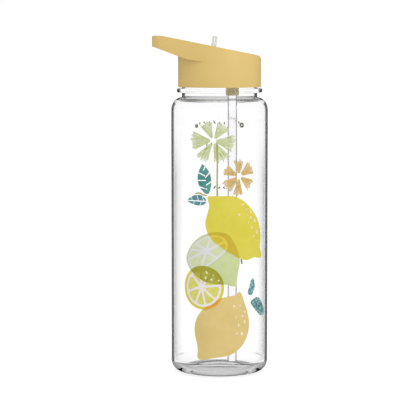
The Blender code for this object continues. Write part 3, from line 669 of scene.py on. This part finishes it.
# The round slice, over the lime and the tan lemon.
slice_line = oval((-12.7, 67.0), 31.8, 32.4, 0, 72)
slice_pith = oval((-12.7, 67.0), 27.6, 28.2, 0, 72)
slice_middle = (-13.6, 67.8)
slice_spokes = (4, 50, 92, 134, 200, 249, 282, 318, 364)
slice_flesh = segments(slice_pith, slice_middle, slice_spokes, 1.7, 0.7)
slice_skin_ink = flat_ink("slice_skin_ink", (222, 210, 72), (214, 204, 64))
slice_pith_ink = flat_ink("slice_pith_ink", (236, 228, 230), (230, 222, 218))
slice_flesh_ink = brushed_ink("slice_flesh_ink", (204, 198, 56), (216, 210, 84), (234, 230, 196))
green_cross_skin_ink = flat_ink("green_cross_skin_ink", (168, 165, 50), (158, 156, 42))
green_cross_flesh_ink = brushed_ink(
    "green_cross_flesh_ink", (158, 158, 44), (176, 174, 68), (192, 190, 100))
orange_cross_ink = flat_ink("orange_cross_ink", (224, 162, 46), (218, 150, 36))
seed_ink = flat_ink("seed_ink", (240, 234, 204), (226, 220, 170))
green_cross_skin = films("green_cross_skin", slice_line)
boolean(green_cross_skin, "INTERSECT", stencil(lime_line))
green_cross_flesh = films("green_cross_flesh", *slice_flesh)
boolean(green_cross_flesh, "INTERSECT", stencil(lime_line))
orange_cross = films("orange_cross", slice_line)
boolean(orange_cross, "DIFFERENCE", stencil(slice_pith))
boolean(orange_cross, "INTERSECT", stencil(tan_lemon_line))
seeds = films("seeds", *(
    oval(*spot) for spot in (
        ((-9.6, 78.4), 1.2, 2.6, 30), ((-10.4, 74.4), 1.5, 2.2, 20), ((-6.0, 73.2), 2.0, 1.4, -20),
        ((-0.8, 72.6), 1.6, 1.4, 0), ((-4.8, 76.6), 0.9, 1.1, 0))))
motif(
    "slice_print", wrap(films("slice_skin", slice_line), 3, slice_skin_ink),
    wrap(films("slice_pith", slice_pith), 4, slice_pith_ink),
    wrap(films("slice_flesh", *slice_flesh), 5, slice_flesh_ink, slice_middle),
    wrap(green_cross_skin, 6, green_cross_skin_ink),
    wrap(green_cross_flesh, 7, green_cross_flesh_ink, slice_middle),
    wrap(orange_cross, 6, orange_cross_ink), wrap(seeds, 8, seed_ink))

# Plain brush marks on the far side of the bottle.
marks = []
for height, first, last, count in (
    (185.0, 95.0, 131.0, 9), (168.5, 101.0, 125.0, 6), (135.0, 100.0, 126.0, 7),
    (65.0, 98.0, 112.0, 4), (27.0, 118.0, 132.0, 4),
):
    for i in range(count):
        place = (first + (last - first) * (i + 0.5) / count, height + draw.uniform(-0.5, 0.5))
        marks.append(oval(place, 1.0, draw.uniform(2.2, 3.6), draw.uniform(-50, 50), 12))
for centre, size in (((94.4, 183.4), 1.3), ((132.0, 182.8), 0.8)):
    for turn in range(0, 360, 60):
        place = (centre[0] + size * cos(radians(turn)), centre[1] + size * sin(radians(turn)))
        marks.append(oval(place, 1.5, 1.9, turn, 12))
back_marks = films("back_marks", *marks)
motif("back_mark_print", wrap(back_marks, 0, flat_ink("mark_ink", (168, 166, 70), (138, 136, 52))))

# The straw. Clear extruded tube cut square at both ends, pushed up into the sleeve.

straw_low, straw_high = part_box("straw")
straw_x = (straw_low[0] + straw_high[0]) / 2
straw_radius = (straw_high[1] - straw_low[1]) / 2
straw_bore = straw_radius - 0.9 * mm
straw_edge = 0.15 * mm


def tube_profile(outer, inner, low, high, edge):
    """The section of a straight tube whose four corners are rounded by edge."""
    return [
        *arc((inner + edge, high - edge), edge, 180, 90, 3),
        *arc((outer - edge, high - edge), edge, 90, 0, 3),
        *arc((outer - edge, low + edge), edge, 0, -90, 3),
        *arc((inner + edge, low + edge), edge, 270, 180, 3),
    ]


straw = spun(
    "drinking_straw",
    tube_profile(straw_radius, straw_bore, straw_low[2], straw_high[2], straw_edge), 64, straw_x)
# The straw's plastic has painted shade: dark grey where its wall is seen edge on, nearly clear
# head on. Its bore is painted a little darker edge on.
straw_plastic_painted_edges = clear_with_painted_shade(
    "straw_plastic_painted_edges",
    ((0.0, (0.94, 0.93, 0.945)), (0.28, (0.92, 0.91, 0.925)), (0.36, (0.26, 0.25, 0.26)),
     (1.0, (0.16, 0.155, 0.16))), 1.2, 90.0)
straw_inner = clear_with_painted_shade("straw_bore", ((0.0, 0.985), (1.0, 0.96)), 1.2, 90.0)
straw.data.materials.append(straw_plastic_painted_edges)
straw.data.materials.append(straw_inner)
for face in straw.data.polygons:
    beside = hypot(face.center.x - straw_x, face.center.y)
    face.material_index = 1 if beside < (straw_radius + straw_bore) / 2 else 0
smooth(straw)
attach(straw, "lid")
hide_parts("straw")

# The straw holder. A khaki silicone sleeve, moulded with a soft lip, pushed over the lid's spigot.

holder_low, holder_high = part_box("straw_holder")
holder_radius = (holder_high[1] - holder_low[1]) / 2
holder_bore = straw_radius + 0.3 * mm
holder_edge = 0.4 * mm
holder = spun(
    "straw_sleeve",
    tube_profile(holder_radius, holder_bore, holder_low[2], holder_high[2], holder_edge),
    64, straw_x)


def moulded_finish(name, colour, shade, roughness, grain_scale, grain, spread=0.0, clear=0.0):
    """Moulded plastic or silicone: cloudy colour, a fine matt grain and uneven gloss."""
    material, shader, add = nodes_for(name)
    place = add("TexCoord").outputs["Object"]
    clouds = add("TexNoise", Vector=place, Scale=35.0, Detail=3.0, Roughness=0.55).outputs["Fac"]
    tint = ramp(add, clouds, (0.3, shade), (0.7, colour))
    fine = add("TexNoise", Vector=place, Scale=grain_scale, Detail=2.0, Roughness=0.5)
    gloss = add("MapRange", Value=clouds, To_Min=roughness - 0.05, To_Max=roughness + 0.05)
    bump = add("Bump", Strength=grain, Distance=0.0001, Height=fine.outputs["Fac"])
    fill(
        shader, Base_Color=tint, Roughness=gloss.outputs["Result"],
        Normal=bump.outputs["Normal"], Subsurface_Weight=spread,
        Subsurface_Radius=(1.0, 0.8, 0.5), Subsurface_Scale=0.002, Transmission_Weight=clear)
    return material


holder.data.materials.append(moulded_finish(
    "khaki_silicone", paint(242, 226, 178), paint(208, 192, 146), 0.5, 1400.0, 0.8))
smooth(holder)
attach(holder, "lid")
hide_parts("straw_holder")

# The lid. A satin mustard moulding: a plain round skirt, a top that slopes down from the beak,
# a beak to carry the bottle by with a slot for a finger, and a pocket that the spout folds into.

lid_low, lid_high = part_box("lid_shell")
lid_radius = (lid_high[1] - lid_low[1]) / 2
lid_bottom = lid_low[2]
lid_bore = 29.5 * mm
lid_slope = radians(11.4)
lid_roof = 2.2 * mm
lid_thread_size = 0.95 * mm
lid_thread_start = 214.35 * mm
slope_on_axis = 242.47 * mm
low_round = 4.0 * mm
edge_round = 1.0 * mm
beak_reach = axis_x - lid_low[0]
beak_root = lid_radius - 0.03 * mm
beak_flare = radians(15.8)
beak_corner = 9.0 * mm
beak_tip = 9.2 * mm
beak_undercut = radians(20.5)
tip_round = 1.2 * mm
tip_flat = 7.0 * mm
slot_low = -beak_reach + 5.0 * mm
slot_high = -lid_radius - 1.4 * mm
slot_half = 13.0 * mm
slot_corner = 5.0 * mm
pocket_low, pocket_high, pocket_half = -8.1 * mm, 15.28 * mm, 6.5 * mm
pocket_corner = 1.0 * mm
pocket_wall = 1.6 * mm
pocket_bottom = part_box("lid_insert")[1][2] + 0.3 * mm
core_corner = 2.6 * mm
bearing_radius = 1.7 * mm
bearing_depth = 0.6 * mm
scoop_radius, scoop_depth = 16.0 * mm, 3.0 * mm
mouth_round = 0.5 * mm
past = 3.0 * mm
pivot = Vector(next(joint for joint in frame["record"]["behaviour"]["joints"]
                    if joint["name"] == "spout_flip")["pos_m"])


def slope_height(x):
    """Height of the lid's sloping top at x from the bottle's axis."""
    return slope_on_axis - x * tan(lid_slope)


def round_box(low, high, corner, steps=8):
    """A rectangle's outline with round corners."""
    (x0, y0), (x1, y1) = low, high
    return [
        *arc((x1 - corner, y1 - corner), corner, 0, 90, steps),
        *arc((x0 + corner, y1 - corner), corner, 90, 180, steps),
        *arc((x0 + corner, y0 + corner), corner, 180, 270, steps),
        *arc((x1 - corner, y0 + corner), corner, 270, 360, steps),
    ]


# The beak seen from above, and the lines of its underside and of the lid seen from the side.
leave = 90 + degrees(beak_flare)
corner_x = beak_reach - beak_corner
corner_y = (beak_root - beak_corner - corner_x * sin(beak_flare)) / cos(beak_flare)
root_x, root_y = beak_root * cos(radians(leave)), beak_root * sin(radians(leave))
beak_outline = [
    (root_x, root_y),
    *arc((-corner_x, corner_y), beak_corner, leave, 180, 12),
    *arc((-corner_x, -corner_y), beak_corner, 180, 360 - leave, 12),
    (root_x, -root_y),
]
bend_end = -lid_radius * sin(beak_flare)
bend_radius = (bend_end + lid_radius) / sin(beak_undercut)
tip_low = slope_height(-beak_reach) - beak_tip
beak_level = (
    tip_low - (beak_reach - lid_radius) * tan(beak_undercut)
    - bend_radius * (1 - cos(beak_undercut))
)
far = -beak_reach - past
beak_side = [
    (far, tip_low + past * tan(beak_undercut)),
    *arc((bend_end, beak_level + bend_radius), bend_radius, 270 - degrees(beak_undercut), 270, 16),
    (0, beak_level), (0, slope_height(far) + past), (far, slope_height(far) + past),
]
tip_top = slope_height(tip_flat - beak_reach)
low_x = lid_radius - low_round
lid_side = [
    (-beak_reach, lid_bottom - past), (lid_radius, lid_bottom - past),
    *arc((low_x, slope_height(low_x) - low_round / cos(lid_slope)), low_round,
         0, 90 - degrees(lid_slope), 8),
    (tip_flat - beak_reach, tip_top),
    *arc((tip_round - beak_reach, tip_top - tip_round), tip_round, 90, 180, 8),
]
across = lid_radius + past
top = slope_height(far)
beak = slab("beak", beak_outline, lid_bottom, top + past)
boolean(beak, "INTERSECT", slab("beak_side", beak_side, -across, across, upright=False))
lid = slab("carry_lid", ring(lid_radius, 192), lid_bottom, top)
boolean(lid, "UNION", beak)
boolean(lid, "INTERSECT", slab("lid_side", lid_side, -across, across, upright=False))


def bevel_edges(piece, wanted, width, segments):
    """Rounds the edges for which wanted(first face, second face, the edge's ends) is true."""
    select_only(piece)
    bpy.ops.object.mode_set(mode="EDIT")
    bpy.ops.mesh.select_mode(type="EDGE")
    bpy.ops.mesh.select_all(action="DESELECT")
    shape = bmesh.from_edit_mesh(piece.data)
    for edge in shape.edges:
        faces = edge.link_faces
        ends = [vertex.co for vertex in edge.verts]
        edge.select = len(faces) == 2 and wanted(faces[0], faces[1], ends)
    bmesh.update_edit_mesh(piece.data)
    bpy.ops.mesh.bevel(offset=width, segments=segments, profile=0.5, clamp_overlap=True)
    bpy.ops.mesh.select_all(action="DESELECT")
    bpy.ops.object.mode_set(mode="OBJECT")


def is_sharp(first, second, degrees_apart=35):
    """True where two faces meet at more than this angle."""
    return first.normal.angle(second.normal, 0) > radians(degrees_apart)


def turns_out(first, second):
    """True where two faces meet in a ridge, not in a corner."""
    step = second.calc_center_median() - first.calc_center_median()
    return step.dot(first.normal) < 0


bevel_edges(lid, lambda a, b, ends: is_sharp(a, b) and turns_out(a, b), edge_round, 4)

# What is cut from the lid: the room for the neck and the insert, with the pocket's walls left
# standing in it, then the pocket, the axle's bearings, the finger slot and the thumb scoop.


def scoop(name, extra):
    """The ball that dips the thumb scoop into the slope past the pocket's end."""
    lift = scoop_radius - scoop_depth
    x = axis_x + pocket_high + lift * sin(lid_slope)
    z = slope_height(pocket_high) + lift * cos(lid_slope)
    bpy.ops.object.select_all(action="DESELECT")
    bpy.ops.mesh.primitive_uv_sphere_add(
        segments=96, ring_count=48, radius=scoop_radius + extra, location=(x, 0, z))
    bpy.context.object.name = name
    return bpy.context.object


def along_y(name, radius, length, vertices=64):
    """A cylinder through the spout's pivot, lying along Y."""
    bpy.ops.object.select_all(action="DESELECT")
    bpy.ops.mesh.primitive_cylinder_add(
        vertices=vertices, radius=radius, depth=length, location=pivot, rotation=(pi / 2, 0, 0))
    bpy.context.object.name = name
    return bpy.context.object


reach = lid_bore + past
drop = lid_roof / cos(lid_slope)
hollow = slab("hollow", ring(lid_bore, 144), lid_bottom - past, slope_height(-reach))
boolean(hollow, "INTERSECT", slab("under_roof", [
    (-reach, lid_bottom - 2 * past), (reach, lid_bottom - 2 * past),
    (reach, slope_height(reach) - drop), (-reach, slope_height(-reach) - drop),
], -reach, reach, upright=False))
pocket_core = slab("pocket_core", round_box(
    (pocket_low - pocket_wall, -pocket_half - pocket_wall),
    (pocket_high + pocket_wall, pocket_half + pocket_wall), core_corner), pocket_bottom, top)
boolean(hollow, "DIFFERENCE", pocket_core, scoop("scoop_backing", pocket_wall))
pocket = slab("pocket", round_box(
    (pocket_low, -pocket_half), (pocket_high, pocket_half), pocket_corner),
    pocket_bottom - past, top)
finger_slot = slab("finger_slot", round_box(
    (slot_low, -slot_half), (slot_high, slot_half), slot_corner), lid_bottom, top)
boolean(lid, "DIFFERENCE", pocket, finger_slot, scoop("thumb_scoop", 0.0))


def on_top(face):
    """True for the lid's sloping top face and the level end of the beak."""
    return face.normal.z > 0.97


def mouth_edge(a, b, ends):
    """The edges round the pocket, the finger slot and the scoop, on top and below the beak."""
    inside = all(abs(end.y) < slot_half + 1.0 * mm for end in ends)
    return inside and is_sharp(a, b, 12) and (on_top(a) != on_top(b))


bevel_edges(lid, mouth_edge, mouth_round, 3)
boolean(lid, "DIFFERENCE", hollow)
bearing_length = 2 * (pocket_half + pocket_wall + bearing_depth)
boolean(lid, "DIFFERENCE", along_y("bearings", bearing_radius, bearing_length, 48))
boolean(lid, "UNION", helix_ridge("lid_thread", lid_bore, lid_thread_size, lid_thread_start))
lid.data.materials.append(moulded_finish(
    "mustard_plastic", paint(225, 195, 120), paint(221, 190, 115), 0.42, 2200.0, 0.35))
smooth(lid, 32)
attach(lid, "lid")
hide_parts("lid_shell")

# The insert, the gasket, the vent valve and the seal stay as the frame has them, and get their
# own finishes: a natural white moulding and milky silicone.

natural_plastic = moulded_finish(
    "natural_plastic", (0.80, 0.79, 0.74), (0.74, 0.73, 0.69), 0.45, 1800.0, 0.3, spread=0.3)
milky_silicone = moulded_finish(
    "milky_silicone", (0.72, 0.72, 0.70), (0.62, 0.62, 0.60), 0.5, 1500.0, 0.3, spread=0.2,
    clear=0.3)
for node, finish in (
    ("lid_insert", natural_plastic), ("mouth_gasket", milky_silicone),
    ("vent_valve", milky_silicone), ("spout_seal", milky_silicone),
):
    kept = frame["nodes"][node]
    kept.data.materials.clear()
    kept.data.materials.append(finish)

# The spout. A clear moulding: a barrel with a stub axle at each end, and a flat hollow stem that
# stands up while someone drinks and folds down into the lid's pocket.

stem_thick, stem_wide, stem_wall = 3.8 * mm, 9.0 * mm, 1.1 * mm
stem_reach = 14.6 * mm
stem_lean = radians(8.0)
stem_round = 1.5 * mm
barrel_radius, barrel_length = 6.0 * mm, 12.4 * mm
barrel_round = 0.5 * mm
axle_radius, axle_length = 1.5 * mm, barrel_length + 3.2 * mm
passage_radius = 2.0 * mm
stem_offset = barrel_radius - stem_thick / 2


def stem_bar(name, thick, wide, low, high):
    """A flat oval bar along the stem, from low to high above the pivot."""
    half = (wide - thick) / 2
    outline = [
        *arc((0, half), thick / 2, 0, 180, 12),
        *arc((0, -half), thick / 2, 180, 360, 12),
    ]
    bar = slab(name, [(x - axis_x, y) for x, y in outline], low, high)
    bar.location = pivot - Vector((cos(stem_lean), 0, -sin(stem_lean))) * stem_offset
    bar.rotation_euler = (0, stem_lean, 0)
    return bar


spout = along_y("flip_spout", barrel_radius, barrel_length)
bevel_edges(spout, lambda a, b, ends: is_sharp(a, b), barrel_round, 3)
stem = stem_bar("stem", stem_thick, stem_wide, 0, stem_reach)
bevel_edges(stem, lambda a, b, ends: is_sharp(a, b) and ends[0].z > stem_reach / 2, stem_round, 6)
boolean(spout, "UNION", along_y("axle", axle_radius, axle_length, 32), stem)
port = Vector((straw_x, 0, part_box("spout_seal")[0][2] - 0.3 * mm))
down = (port - pivot).normalized()
upper_end = pivot - down * (barrel_radius - stem_wall - 1.0 * mm)
lower_end = pivot + down * (barrel_radius + past)
bpy.ops.mesh.primitive_cylinder_add(
    vertices=32, radius=passage_radius, depth=(lower_end - upper_end).length,
    location=(lower_end + upper_end) / 2, rotation=down.to_track_quat("Z", "Y").to_euler())
passage = bpy.context.object
bore = stem_bar(
    "stem_bore", stem_thick - 2 * stem_wall, stem_wide - 2 * stem_wall, 0, stem_reach + past)
boolean(spout, "DIFFERENCE", bore, passage)
# The spout's clear plastic has a faint warm tint head on, and painted olive-grey shade where it is
# seen edge on.
spout.data.materials.append(clear_with_painted_shade(
    "spout_plastic_painted_edges",
    ((0.0, (0.95, 0.95, 0.93)), (0.14, (0.92, 0.92, 0.88)), (0.30, (0.50, 0.49, 0.43)),
     (1.0, (0.34, 0.33, 0.27))), 1.06, 150.0, smudge=0.03))
select_only(spout)
bpy.ops.object.transform_apply(location=True, rotation=True, scale=True)
smooth(spout, 35)
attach(spout, "flip_spout")
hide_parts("spout")

# The camera, the floor and the light. A white table under a white tent, with a soft key lamp at
# the front right.

scene = bpy.context.scene
scene.view_settings.view_transform = "Standard"
looks_down = 5.402
camera_data = bpy.data.cameras.new("camera")
camera_data.lens = 149.65
camera_data.sensor_width = 36.0
camera_data.clip_end = 100.0
camera = bpy.data.objects.new("camera", camera_data)
camera.location = (axis_x - 0.0086, -1.2914, 0.24467)
camera.rotation_euler = (radians(90 - looks_down), 0, 0)
scene.collection.objects.link(camera)
scene.camera = camera

bpy.ops.object.select_all(action="DESELECT")
bpy.ops.mesh.primitive_plane_add(size=24.0, location=(0, 0, -0.0004))
floor = bpy.context.object
floor.name = "table_top"
table, table_shader, add = nodes_for("white_table")


def worked_out(operation, *values, **settings):
    """The result of a Math node, added where add puts its nodes."""
    return add("Math", *values, operation=operation, **settings).outputs["Value"]


# The table glows a little where it is looked at, straight or through the bottle, so that it
# stays white there. It is darker in reflections, where it would wash out the colours.
ray = add("LightPath").outputs
looked_at = worked_out("MAXIMUM", ray["Is Camera Ray"], ray["Is Transmission Ray"])
mirrored = worked_out(
    "SUBTRACT", ray["Is Glossy Ray"], ray["Is Transmission Ray"], use_clamp=True)
scattered = worked_out("MULTIPLY_ADD", ray["Is Diffuse Ray"], -0.25, 1.0)
dimmed = worked_out("MULTIPLY_ADD", mirrored, -0.85, scattered)
seen = worked_out("MULTIPLY_ADD", looked_at, -0.70, dimmed, use_clamp=True)
paper = add("TexNoise", Scale=3.0, Detail=2.0).outputs["Fac"]
paper_tone = ramp(add, paper, (0.3, 0.93), (0.7, 0.95))
table_tone = add("MixRGB", Fac=1.0, Color1=paper_tone, Color2=seen, blend_type="MULTIPLY")
fill(
    table_shader, Base_Color=table_tone.outputs["Color"], Roughness=0.9,
    Specular_IOR_Level=0.0, Emission_Color=(1, 1, 1, 1),
    Emission_Strength=worked_out("MULTIPLY", looked_at, 0.79))
floor.data.materials.append(table)

# The tent is brighter through the bottle than in reflections, up to a limit.
world = bpy.data.worlds.new("white_tent")
world.use_nodes = True
scene.world = world
add = adder(world.node_tree)
ray = add("LightPath").outputs
brightness = 0.94
for kind, change in (
    ("Is Camera Ray", 0.16), ("Is Glossy Ray", -0.80), ("Is Transmission Ray", 0.89),
):
    brightness = worked_out("MULTIPLY_ADD", ray[kind], change, brightness)
fill(
    world.node_tree.nodes["Background"], Color=(1, 1, 1, 1),
    Strength=worked_out("MINIMUM", brightness, 1.03))

for name, power, size, place in (
    ("key_lamp", 3.6, 0.7, (0.75, -0.95, 0.75)), ("overhead_lamp", 3.5, 1.2, (0, 0, 1.3)),
):
    lamp_data = bpy.data.lights.new(name, "AREA")
    lamp_data.energy = power
    lamp_data.size = size
    lamp = bpy.data.objects.new(name, lamp_data)
    lamp.location = place
    aim = Vector((0, 0, 0.15)) - lamp.location
    lamp.rotation_euler = aim.to_track_quat("-Z", "Y").to_euler()
    scene.collection.objects.link(lamp)
